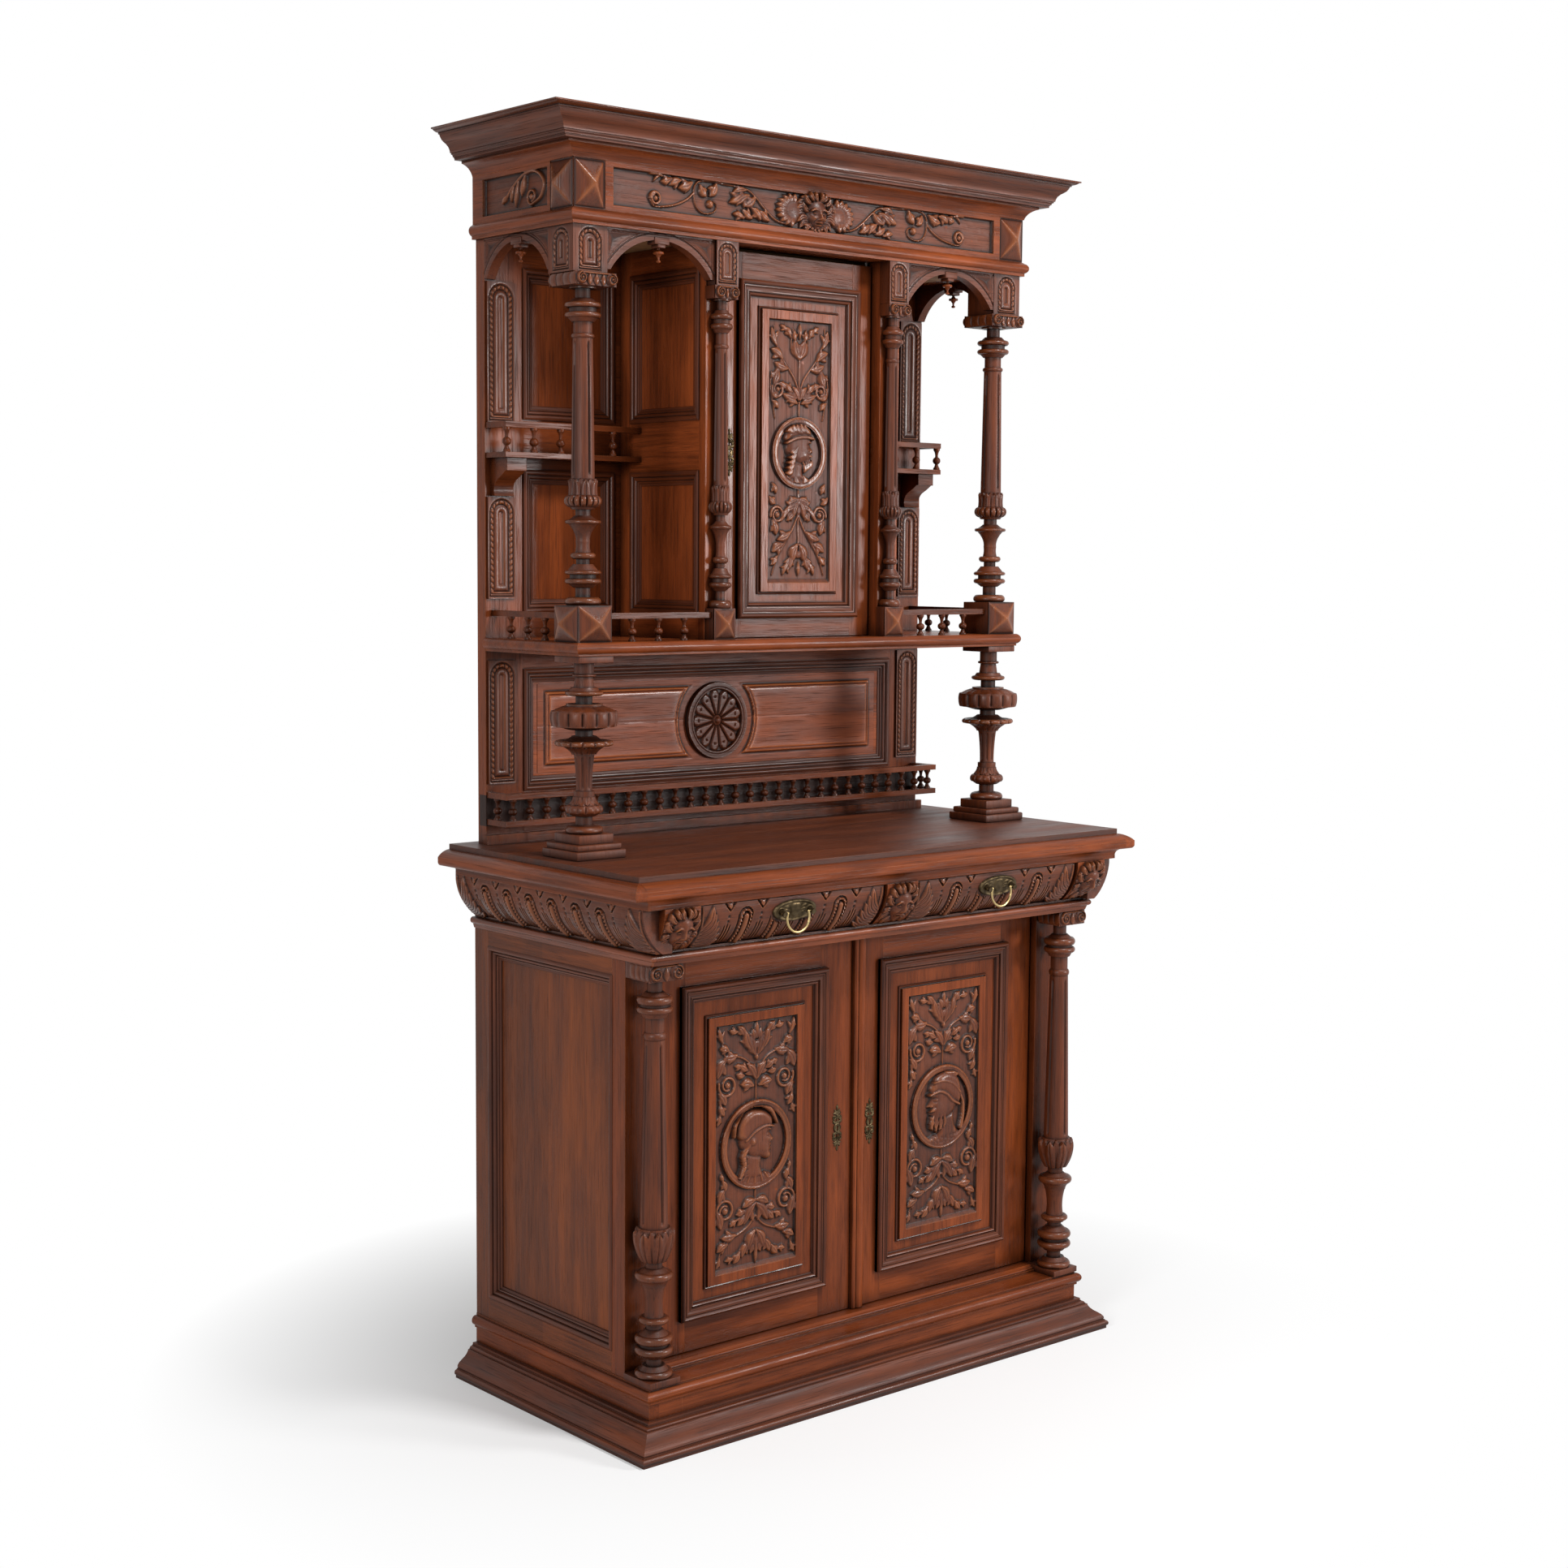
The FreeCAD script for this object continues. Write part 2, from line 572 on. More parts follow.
def pyramid_block(x0, x1, d0, d1, z0, z1, rise):
    """Square block whose front and outer faces are raised to a diamond point."""
    core = box(x0, x1, d0, d1, z0, z1)
    mid_x = (x0 + x1) / 2
    mid_d = (d0 + d1) / 2
    mid_z = (z0 + z1) / 2
    front = pyramid([at(x0, d1, z0), at(x1, d1, z0), at(x1, d1, z1), at(x0, d1, z1)],
                    at(mid_x, d1 + rise, mid_z))
    outer = pyramid([at(x1, d0, z0), at(x1, d1, z0), at(x1, d1, z1), at(x1, d0, z1)],
                    at(x1 + rise, mid_d, mid_z))
    return core.fuse([front, outer]).removeSplitter().Solids[0]


def pyramid(base, tip):
    faces = [Part.Face(Part.makePolygon(base + [base[0]]))]
    for index, corner in enumerate(base):
        faces.append(Part.Face(Part.makePolygon([base[index - 1], corner, tip, base[index - 1]])))
    solid = Part.makeSolid(Part.makeShell(faces))
    if solid.Volume < 0:
        solid.reverse()
    return solid


def frame_strip(length, points, width):
    """One mitred strip of a picture-frame moulding, lying along local X, standing up along local Z."""
    face = outline_face(points, lambda v, n: V(0, v, n))
    strip = face.extrude(V(length, 0, 0))
    low = min(p[1] for p in points)
    high = max(p[1] for p in points)
    cut = outline_face([(0, 0), (length, 0), (length - width, width), (width, width)],
                       lambda u, v: V(u, v, low))
    return strip.common(cut.extrude(V(0, 0, high - low))).Solids[0]


def picture_frame(width, height, points, strip_width):
    """Four mitred strips round a rectangle that starts at the local origin."""
    def turn(shape, angle, shift):
        moved = shape.copy()
        moved.rotate(V(0, 0, 0), V(0, 0, 1), angle)
        moved.translate(shift)
        return moved
    along = frame_strip(width, points, strip_width)
    upright = frame_strip(height, points, strip_width)
    return [along, turn(along, 180, V(width, height, 0)),
            turn(upright, 90, V(width, 0, 0)), turn(upright, -90, V(0, height, 0))]


def stand(shapes, turn_z, corner):
    """Stand local flat work upright, turn it about Z and set its local origin on a corner."""
    placed = []
    for shape in shapes:
        moved = shape.copy()
        moved.rotate(V(0, 0, 0), V(1, 0, 0), 90)
        moved.rotate(V(0, 0, 0), V(0, 0, 1), turn_z)
        moved.translate(corner)
        placed.append(moved)
    return placed


def bolection(width, rise):
    """Raised frame moulding: outer roll, cove and inner bead, counted in from its outer edge."""
    roll = width * 0.34
    bead = width * 0.24
    step = rise * 0.55
    return [(0, 0), (0, rise * 0.5), (roll, rise * 0.72, (roll * 0.45, rise)),
            (width - bead, step), (width - bead, step * 0.7),
            (width, step * 0.4, (width - bead * 0.4, step * 0.95)), (width, 0)]


def sunk_moulding(width, rise):
    """Small inner moulding of the plain side and back panels."""
    return [(0, 0), (0, rise), (width * 0.4, rise * 0.8, (width * 0.22, rise * 1.1)),
            (width * 0.55, rise * 0.35), (width, rise * 0.25), (width, 0)]


def front_frame(x0, x1, z0, z1, face, points, strip_width):
    strips = picture_frame(x1 - x0, z1 - z0, points, strip_width)
    return stand(strips, 0, at(x0, face, z0))


def outer_frame(x, d0, d1, z0, z1, points, strip_width):
    """Picture frame on a face that looks along +X."""
    strips = picture_frame(d1 - d0, z1 - z0, points, strip_width)
    return stand(strips, 90, at(x, d1, z0))


def disc_front(x, z, depth, radius, thick):
    return Part.makeCylinder(radius, thick, at(x, depth, z), V(0, -1, 0))


def make_plinth():
    low_edge = PLINTH_OUT * 0.94
    points = [(0, 0), (low_edge, 0), (PLINTH_OUT, PLINTH_TOP * 0.12),
              (low_edge, PLINTH_TOP * 0.26), (PLINTH_OUT * 0.84, PLINTH_TOP * 0.40,
                                              (PLINTH_OUT * 0.94, PLINTH_TOP * 0.36)),
              (PLINTH_OUT * 0.30, PLINTH_TOP * 0.84, (PLINTH_OUT * 0.44, PLINTH_TOP * 0.60)),
              (PLINTH_OUT * 0.18, PLINTH_TOP * 0.86), (PLINTH_OUT * 0.14, PLINTH_TOP), (0, PLINTH_TOP)]
    return mitred_run(points, BASE_HALF, BASE_FACE, 0, 0, PLINTH_OUT, PLINTH_OUT)


def make_base_frame():
    block_x = BASE_HALF - CORNER_BLOCK_W
    block_d = BASE_FACE - CORNER_BLOCK_D
    rail_x = BASE_HALF - BASE_RAIL
    pieces = both(box(block_x, BASE_HALF, block_d, BASE_FACE, 0, BASE_TOP))
    pieces += both(box(rail_x, BASE_HALF, 0, block_d, 0, BASE_TOP))
    pieces.append(box(-block_x, block_x, BASE_FACE - BASE_RAIL, BASE_FACE, 0, BASE_TOP))
    pieces.append(box(-rail_x, rail_x, 0, BASE_RAIL, 0, BASE_TOP))
    return pieces


def nosing(low, high, out):
    """Half-round nosing with a small fillet under it."""
    fillet = out * 0.35
    return [(0, low), (fillet, low), (fillet, low + out * 0.4),
            (fillet, high, (out, (low + high) / 2 + out * 0.2)), (0, high)]


def make_sill():
    board = box(-BASE_HALF, BASE_HALF, 0, BASE_FACE, BASE_TOP, SILL_TOP)
    strips = mitred_run(nosing(BASE_TOP, SILL_TOP - REED, NOSING_OUT), BASE_HALF, BASE_FACE, 0, 0,
                        NOSING_OUT, NOSING_OUT)
    front = SILL_STEP_FRONT
    step = run_x([(POST_FACE, SILL_TOP), (front, SILL_TOP), (front, SILL_TOP + REED),
                  (front - REED, SILL_TOP + REED), (front - REED * 2, SILL_TOP + REED * 2,
                                                    (front - REED * 1.1, SILL_TOP + REED * 1.8)),
                  (front - REED * 3, STEP_TOP), (POST_FACE, STEP_TOP)], -SILL_STEP_HALF, SILL_STEP_HALF)
    threshold = box(-POST_SIDE, POST_SIDE, POST_FACE - POST_D, POST_FACE, SILL_TOP, STEP_TOP)
    return [board] + strips + [step, threshold]


def make_lower_side():
    """Right side: rear stile, two rails, two panel boards and the frame moulding."""
    front = POST_FACE - POST_D
    inner = SIDE_X - SIDE_THICK
    board = SIDE_X - SIDE_THICK * 0.7
    pieces = [box(inner, SIDE_X, 0, SIDE_PANEL_REAR, SILL_TOP, WAIST_LOW),
              box(inner, SIDE_X, SIDE_PANEL_REAR, front, SILL_TOP, SIDE_PANEL_LOW),
              box(inner, SIDE_X, SIDE_PANEL_REAR, front, SIDE_PANEL_TOP, WAIST_LOW),
              box(board - PANEL_THICK, board, SIDE_PANEL_REAR, SIDE_SEAM, SIDE_PANEL_LOW, SIDE_PANEL_TOP),
              box(board - PANEL_THICK, board, SIDE_SEAM, front, SIDE_PANEL_LOW, SIDE_PANEL_TOP)]
    rise = SIDE_X - board
    pieces += outer_frame(board, SIDE_PANEL_REAR, front, SIDE_PANEL_LOW, SIDE_PANEL_TOP,
                          sunk_moulding(PANEL_THICK * 1.6, rise), PANEL_THICK * 1.6)
    return pieces


def make_front_post():
    return box(POST_SIDE, SIDE_X, POST_FACE - POST_D, POST_FACE, SILL_TOP, WAIST_LOW)


def make_lower_back():
    """Four upright boards let in between the sides."""
    half = SIDE_X - SIDE_THICK
    width = half / 2
    boards = []
    for index in range(4):
        left = -half + index * width
        boards.append(box(left, left + width, 0, BACK_THICK, SILL_TOP, WAIST_LOW))
    return boards


def make_lower_column():
    """Right column: foot block, turned shaft and scroll slab tied back to the post."""
    half = LOWER_BLOCK / 2
    block = box(LOWER_COLUMN_X - half, LOWER_COLUMN_X + half, POST_FACE, LOWER_COLUMN_D + half,
                SILL_TOP, STEP_TOP)
    shaft = turned(LOWER_COLUMN_X, LOWER_COLUMN_D, STEP_TOP, LOWER_COLUMN_TOP, LOWER_COLUMN_R,
                   LOWER_COLUMN_SHARES)
    slab = box(LOWER_SLAB_IN, LOWER_SLAB_OUT, LOWER_SLAB_REAR, LOWER_SLAB_FRONT,
               LOWER_COLUMN_TOP, WAIST_LOW)
    tongue = box(SLAB_TONGUE_IN, SIDE_X, POST_FACE, LOWER_SLAB_REAR, LOWER_COLUMN_TOP, WAIST_LOW)
    return [block, shaft, slab, tongue]


def make_lower_shelf():
    inner = SIDE_X - SIDE_THICK * 0.7 - PANEL_THICK
    front = POST_FACE - POST_D
    low = LOWER_SHELF_Z - SHELF_THICK
    shelf = box(-inner, inner, BACK_THICK, front - BEARER, low, LOWER_SHELF_Z)
    bearer = box(inner - BEARER, inner, BACK_THICK, front - BEARER, low - BEARER, low)
    stop = box(-BEARER * 2, BEARER * 2, front - BEARER, front, WAIST_LOW - BEARER, WAIST_LOW)
    return [shelf, stop] + both(bearer)


def door_plan(edge, free, face, thick):
    """Plan of a door whose front corner beside the pivot is rounded, for a door on the right."""
    back = face - thick
    ease = DOOR_ROUND * (1 - math.sqrt(0.5))
    return [(free, back), (free, face), (edge - DOOR_ROUND, face),
            (edge, face - DOOR_ROUND, (edge - ease, face - ease)), (edge, back)]


def pivot_holes(x, depth, low, high):
    hole = PIVOT_R + PIN_CLEARANCE
    deep = PIVOT_LONG + PLAY
    return [Part.makeCylinder(hole, deep, at(x, depth, low)),
            Part.makeCylinder(hole, deep, at(x, depth, high - deep))]


def make_door_frame(free, stile_out, stile_in, edge, face, thick, low, high, mould, cuts):
    """Door for the right-hand side: two stiles, two rails and the bolection moulding.

    cuts are the rooms of a lock or of a neighbour's bolt in the free stile.
    """
    mould_in, mould_out, mould_low, mould_top = mould
    lap = MOULD_WIDTH * 0.45
    rail_low = mould_low + lap
    rail_top = mould_top - lap
    outer = run_up(door_plan(edge, stile_out, face, thick), low, high)
    holes = pivot_holes(edge - PIVOT_INSET, face - PIVOT_INSET, low, high)
    outer = outer.cut(holes).Solids[0]
    inner = box(free, stile_in, face - thick, face, low, high)
    inner = inner.cut(cuts).Solids[0]
    bottom = box(stile_in, stile_out, face - thick, face, low, rail_low)
    top = box(stile_in, stile_out, face - thick, face, rail_top, high)
    strips = front_frame(mould_in, mould_out, mould_low, mould_top, face,
                         bolection(MOULD_WIDTH, MOULD_RISE), MOULD_WIDTH)
    return [outer, inner, bottom, top] + strips


def make_door_panel(x0, x1, z0, z1, field, face, thick, medal):
    """Panel board with a raised field, its sunk ground and the ring of the medallion."""
    field_x0, field_x1, field_z0, field_z1 = field
    medal_x, medal_z, medal_r = medal
    back = face - thick
    base = box(x0, x1, back, face, z0, z1)
    raised = box(field_x0, field_x1, face, face + FIELD_RISE, field_z0, field_z1)
    ground = box(field_x0 + FIELD_BORDER, field_x1 - FIELD_BORDER, face + FIELD_RISE - FIELD_SINK,
                 face + FIELD_RISE, field_z0 + FIELD_BORDER, field_z1 - FIELD_BORDER)
    floor = face + FIELD_RISE - FIELD_SINK
    ring = disc_front(medal_x, medal_z, floor, medal_r, FIELD_SINK)
    ring = ring.cut(disc_front(medal_x, medal_z, floor, medal_r - MEDAL_RING, FIELD_SINK))
    return [base.fuse([raised.cut(ground), ring]).removeSplitter().Solids[0]]


def lower_mould_box():
    return (DOOR_MOULD_IN, DOOR_MOULD_OUT, DOOR_MOULD_LOW, DOOR_MOULD_TOP)


def make_lower_door(cuts):
    """Frame and panel of a base door, for the right-hand side."""
    free = DOOR_GAP / 2
    lap = MOULD_WIDTH * 0.45
    stile_out = DOOR_MOULD_OUT - lap
    stile_in = DOOR_MOULD_IN + lap
    frame = make_door_frame(free, stile_out, stile_in, DOOR_EDGE, DOOR_FACE, DOOR_THICK, DOOR_LOW,
                            DOOR_TOP, lower_mould_box(), cuts)
    field = (FIELD_IN, FIELD_OUT, FIELD_LOW, FIELD_TOP)
    medal = ((FIELD_IN + FIELD_OUT) / 2, MEDAL_Z, MEDAL_R)
    panel = make_door_panel(stile_in, stile_out, DOOR_MOULD_LOW + lap, DOOR_MOULD_TOP - lap, field,
                            DOOR_FACE, PANEL_THICK, medal)
    return frame, panel


def make_astragal():
    """Reeded cover strip on the meeting edge of the right-hand door."""
    low = DOOR_GAP / 2
    high = low + ASTRAGAL_W
    third = ASTRAGAL_W / 3
    rise = ASTRAGAL_RISE
    plan = [(low, DOOR_FACE), (low, DOOR_FACE + rise * 0.6),
            (low + third, DOOR_FACE + rise * 0.6, (low + third * 0.5, DOOR_FACE + rise * 0.85)),
            (low + third, DOOR_FACE + rise * 0.75),
            (high, DOOR_FACE + rise * 0.5, (low + third * 1.9, DOOR_FACE + rise)), (high, DOOR_FACE)]
    return [run_up(plan, DOOR_LOW, DOOR_TOP)]


def make_escutcheon(x, z, face):
    """Lobed brass plate with a keyhole through it."""
    half = ESCUTCHEON_H / 2
    lobe = ESCUTCHEON_W / 2
    thick = ESCUTCHEON_THICK
    plate = disc_front(x, z, face, lobe, thick)
    for sign in (-1, 1):
        plate = plate.fuse(disc_front(x, z + sign * half * 0.40, face, lobe * 0.8, thick))
        plate = plate.fuse(disc_front(x, z + sign * half * 0.68, face, lobe * 0.55, thick))
        plate = plate.fuse(disc_front(x, z + sign * half * 0.90, face, lobe * 0.35, thick))
    slot = box(x - KEYHOLE_R / 2, x + KEYHOLE_R / 2, face, face + thick, z - KEYHOLE_SLOT, z)
    plate = plate.cut([disc_front(x, z, face, KEYHOLE_R, thick), slot])
    return [plate.removeSplitter().Solids[0]]


def lock_place(x_edge, direction, z, back):
    """Room of a lock let into the back of a door, open at the door's edge."""
    far = x_edge - direction * LOCK_W
    return box(min(x_edge, far), max(x_edge, far), back, back + LOCK_THICK, z - LOCK_H / 2, z + LOCK_H / 2)


def bolt_room(x0, x1, z, back, spare):
    low = back + LOCK_THICK / 2 - BOLT_THICK / 2 - spare
    high = low + BOLT_THICK + 2 * spare
    return box(min(x0, x1), max(x0, x1), low, high, z - BOLT_H / 2 - spare, z + BOLT_H / 2 + spare)


def make_lock(x_edge, direction, z, back):
    """Half-mortise lock: a case with a way through it, and the bolt drawn back inside."""
    case = lock_place(x_edge, direction, z, back)
    tail = x_edge - direction * BOLT_LONG
    far = x_edge - direction * LOCK_W
    case = case.cut(bolt_room(x_edge, far, z, back, PLAY))
    return case.Solids, [bolt_room(x_edge - direction * PLAY, tail, z, back, 0)]


def keeper_slot(x_edge, direction, z, back):
    """Room that a shot bolt needs in the neighbour."""
    return bolt_room(x_edge, x_edge + direction * (BOLT_THROW + DOOR_GAP), z, back, DOOR_GAP)


def make_pivots(x, depth, low, high, seat_low, seat_high):
    """Two pins on the case, one up into the door's foot and one down into its head."""
    bottom = Part.makeCylinder(PIVOT_R, low + PIVOT_LONG - seat_low, at(x, depth, seat_low))
    head = high - PIVOT_LONG
    top = Part.makeCylinder(PIVOT_R, seat_high - head, at(x, depth, head))
    return [bottom, top]


def apron_profile(face, back, low, high, swell):
    """Swelling section shared by the drawer fronts, the mask blocks and the side aprons."""
    rise = high - low
    return [(back, low), (face, low), (face + swell, low + rise * 0.88, (face + swell * 0.66, low + rise * 0.36)),
            (face + swell, high), (back, high)]


def make_waist():
    board = box(-SIDE_X, SIDE_X, 0, APRON_FRONT_LOW, WAIST_LOW, WAIST_TOP)
    out = NOSING_OUT
    third = (WAIST_TOP - WAIST_LOW) / 3
    points = [(0, WAIST_LOW), (out * 0.2, WAIST_LOW), (out * 0.45, WAIST_LOW + third),
              (out * 0.45, WAIST_TOP - REED, (out, WAIST_LOW + third * 1.75)), (0, WAIST_TOP - REED)]
    return [board] + mitred_run(points, SIDE_X, APRON_FRONT_LOW, 0, 0, out, out)


def make_mask_blocks():
    profile = apron_profile(APRON_FRONT_LOW + MASK_PROUD, MASK_BACK, WAIST_TOP, APRON_TOP, APRON_SWELL)
    inner = MASK_OUT - 2 * MASK_HALF
    return [run_x(profile, -MASK_OUT, -inner), run_x(profile, -MASK_HALF, MASK_HALF),
            run_x(profile, inner, MASK_OUT)]


def make_side_apron():
    """Right apron with its front end mitre-cut clear of the mask block."""
    inner = SIDE_X - SIDE_THICK
    full = run_depth(shifted(apron_profile(0, inner - SIDE_X, WAIST_TOP, APRON_TOP, APRON_SWELL), 1.0, SIDE_X),
                     0, APRON_END)
    notch = box(inner - SIDE_THICK, MASK_OUT, MASK_BACK, APRON_END, WAIST_TOP, APRON_TOP)
    return full.cut(notch).Solids[0]


def make_drawer_guides():
    """Rear rail and the strips that keep the drawers straight."""
    inner = SIDE_X - SIDE_THICK
    rear = box(-inner, inner, 0, BASE_RAIL, WAIST_TOP, APRON_TOP)
    outer = box(DRAWER_BOX_OUT + DOOR_GAP, DRAWER_BOX_OUT + DOOR_GAP + GUIDE_W, BASE_RAIL, MASK_BACK,
                WAIST_TOP, WAIST_TOP + GUIDE_W * 2)
    inside = box(DRAWER_BOX_IN - DOOR_GAP - GUIDE_W, DRAWER_BOX_IN - DOOR_GAP, BASE_RAIL, MASK_BACK,
                 WAIST_TOP, WAIST_TOP + GUIDE_W * 2)
    return [rear] + both(outer) + both(inside)


def make_drawer():
    """Right drawer: swelling front and a box of sides, back and bottom."""
    low = WAIST_TOP + DRAWER_LIFT
    front = run_x(apron_profile(APRON_FRONT_LOW - PLAY, DRAWER_FRONT_BACK, low, APRON_TOP - DRAWER_LIFT,
                                APRON_SWELL - MASK_PROUD), DRAWER_IN, DRAWER_OUT)
    foot = WAIST_TOP + PLAY
    floor = foot + DRAWER_BOTTOM
    wall_in = DRAWER_BOX_IN + DRAWER_WALL
    wall_out = DRAWER_BOX_OUT - DRAWER_WALL
    sides = [box(DRAWER_BOX_IN, wall_in, DRAWER_REAR, DRAWER_FRONT_BACK, foot, DRAWER_BOX_TOP),
             box(wall_out, DRAWER_BOX_OUT, DRAWER_REAR, DRAWER_FRONT_BACK, foot, DRAWER_BOX_TOP)]
    back = box(wall_in, wall_out, DRAWER_REAR, DRAWER_REAR + DRAWER_WALL, floor, DRAWER_BOX_TOP)
    bottom = box(wall_in, wall_out, DRAWER_REAR, DRAWER_FRONT_BACK, foot, floor)
    return [front], sides + [back, bottom]


def swell_circle():
    """Middle point (depth, height) and radius of the swelling face of the drawer fronts."""
    low = WAIST_TOP + DRAWER_LIFT
    face = APRON_FRONT_LOW - PLAY
    swell = APRON_SWELL - MASK_PROUD
    profile = apron_profile(face, DRAWER_FRONT_BACK, low, APRON_TOP - DRAWER_LIFT, swell)
    start = profile[1]
    end = profile[2]
    middle = end[2]
    circle = Part.Circle(V(start[0], start[1], 0), V(middle[0], middle[1], 0), V(end[0], end[1], 0))
    return circle.Center, circle.Radius


def make_pull():
    """Right pull: oval plate lying on the swelling front, two posts and a hanging bail."""
    centre, radius = swell_circle()
    up = PULL_Z - centre.y
    out = math.sqrt(radius * radius - up * up)
    lean = -math.degrees(math.atan2(up, out))
    oval = Part.Ellipse(V(0, 0, 0), PULL_PLATE_W / 2, PULL_PLATE_H / 2).toShape()
    plate = Part.Face(Part.Wire(oval)).extrude(V(0, 0, PULL_THICK))
    axis_n = PULL_THICK + PULL_POST_LONG - PULL_POST_R
    parts = [plate]
    for sign in (-1, 1):
        post = Part.makeCylinder(PULL_POST_R, PULL_POST_LONG, V(sign * PULL_POST_X, 0, PULL_THICK))
        hole = Part.makeCylinder(BAIL_PIN_R + PIN_CLEARANCE, PULL_POST_R * 4,
                                 V(sign * PULL_POST_X - PULL_POST_R * 2, 0, axis_n), V(1, 0, 0))
        parts.append(post.cut(hole).Solids[0])
    seat = at(PULL_X, centre.x + out, PULL_Z)
    for part in parts:
        part.rotate(V(0, 0, 0), V(1, 0, 0), 90 + lean)
        part.translate(seat)
    lean_r = math.radians(lean)
    pivot = seat + V(0, -axis_n * math.cos(lean_r), -axis_n * math.sin(lean_r))
    return parts, make_bail(pivot), pivot


def make_bail(pivot):
    """Hanging bow with a pin at each end, stored hanging down."""
    arm = PULL_POST_X - PULL_POST_R - BAIL_R * 2
    left = pivot + V(-arm, 0, 0)
    right = pivot + V(arm, 0, 0)
    bow = Part.Wire(Part.Arc(left, pivot + V(0, 0, -BAIL_DROP), right).toShape())
    tangent = bow.Edges[0].tangentAt(bow.Edges[0].FirstParameter)
    ring = Part.Wire(Part.makeCircle(BAIL_R, left, tangent))
    body = bow.makePipeShell([ring], True, False)
    pin_long = PULL_POST_X + PULL_POST_R - arm
    pieces = []
    for sign in (-1, 1):
        end = pivot + V(sign * arm, 0, 0)
        pieces.append(Part.makeSphere(BAIL_R, end))
        pieces.append(Part.makeCylinder(BAIL_PIN_R, pin_long, end, V(sign, 0, 0)))
    return [body.fuse(pieces).removeSplitter().Solids[0]]


def make_top_cove():
    fillet = APRON_TOP + REED * 1.5
    out = APRON_SWELL + REED * 3
    points = [(-TOP_RAIL, APRON_TOP), (APRON_SWELL, APRON_TOP), (APRON_SWELL, fillet),
              (out, COVE_TOP, (APRON_SWELL + REED * 0.7, fillet + REED * 2.4)), (-TOP_RAIL, COVE_TOP)]
    half = SIDE_X - TOP_RAIL
    rear = box(-half, half, 0, TOP_RAIL, APRON_TOP, COVE_TOP)
    return mitred_run(points, SIDE_X, APRON_FRONT_LOW, 0, TOP_RAIL, out, out) + [rear]


def make_table_edge():
    face = DEPTH - TABLE_OUT
    nose = COVE_TOP + REED * 2
    points = [(-TOP_RAIL, COVE_TOP), (TABLE_OUT - REED, COVE_TOP), (TABLE_OUT, nose, (TABLE_OUT - REED * 0.3, COVE_TOP + REED * 0.7)),
              (TABLE_OUT, nose + REED * 2), (TABLE_STEP, EDGE_TOP, (TABLE_OUT - REED * 1.8, EDGE_TOP - REED * 1.8)),
              (TABLE_STEP, PLANK_LOW), (-TOP_RAIL, PLANK_LOW)]
    return mitred_run(points, SIDE_X, face, 0, TOP_RAIL, TABLE_OUT, TABLE_OUT)


def make_table_planks():
    half = SIDE_X + TABLE_STEP
    front = DEPTH - TABLE_OUT + TABLE_STEP
    width = front / 3
    return [box(-half, half, index * width, (index + 1) * width, PLANK_LOW, TABLE_TOP) for index in range(3)]


def make_back_frame():
    """Two long stiles, the rails between them, two inner stiles and the skirting strip."""
    rear = UPPER_REAR
    front = UPPER_REAR + UPPER_BACK
    stile = NICHE_PANEL_OUT
    pieces = both(box(stile, UPPER_X, rear, front, TABLE_TOP, CAP_TOP))
    pieces.append(box(-stile, stile, rear, front, TABLE_TOP, LOW_PANEL_LOW))
    pieces.append(box(-stile, stile, rear, front, LOW_PANEL_TOP, NICHE_LOW_LOW))
    pieces.append(box(-stile, stile, rear, front, NICHE_UP_TOP, CAP_TOP))
    muntin = CUP_SIDE_X - CUP_SIDE_THICK
    pieces += both(box(muntin, NICHE_PANEL_IN, rear, front, NICHE_LOW_LOW, NICHE_UP_TOP))
    pieces += both(box(NICHE_PANEL_IN, stile, rear, front, NICHE_LOW_TOP, NICHE_UP_LOW))
    pieces.append(box(-SKIRT_HALF, SKIRT_HALF, front, SKIRT_FRONT, TABLE_TOP, SKIRT_TOP))
    return pieces


def make_back_panels():
    front = UPPER_REAR + UPPER_BACK
    sunk = front - MOULD_RISE * 0.6
    width = MOULD_WIDTH * 0.55
    rise = front - sunk
    strip = sunk_moulding(width, rise)
    openings = [(-NICHE_PANEL_OUT, NICHE_PANEL_OUT, LOW_PANEL_LOW, LOW_PANEL_TOP)]
    for low, high in ((NICHE_LOW_LOW, NICHE_LOW_TOP), (NICHE_UP_LOW, NICHE_UP_TOP)):
        openings.append((NICHE_PANEL_IN, NICHE_PANEL_OUT, low, high))
        openings.append((-NICHE_PANEL_OUT, -NICHE_PANEL_IN, low, high))
    pieces = []
    for x0, x1, low, high in openings:
        pieces.append(box(x0, x1, sunk - PANEL_THICK, sunk, low, high))
        pieces += front_frame(x0, x1, low, high, sunk, strip, width)
    inner = CUP_SIDE_X - CUP_SIDE_THICK
    pieces.append(box(-inner, inner, sunk - PANEL_THICK, sunk, NICHE_LOW_LOW, NICHE_UP_TOP))
    return pieces


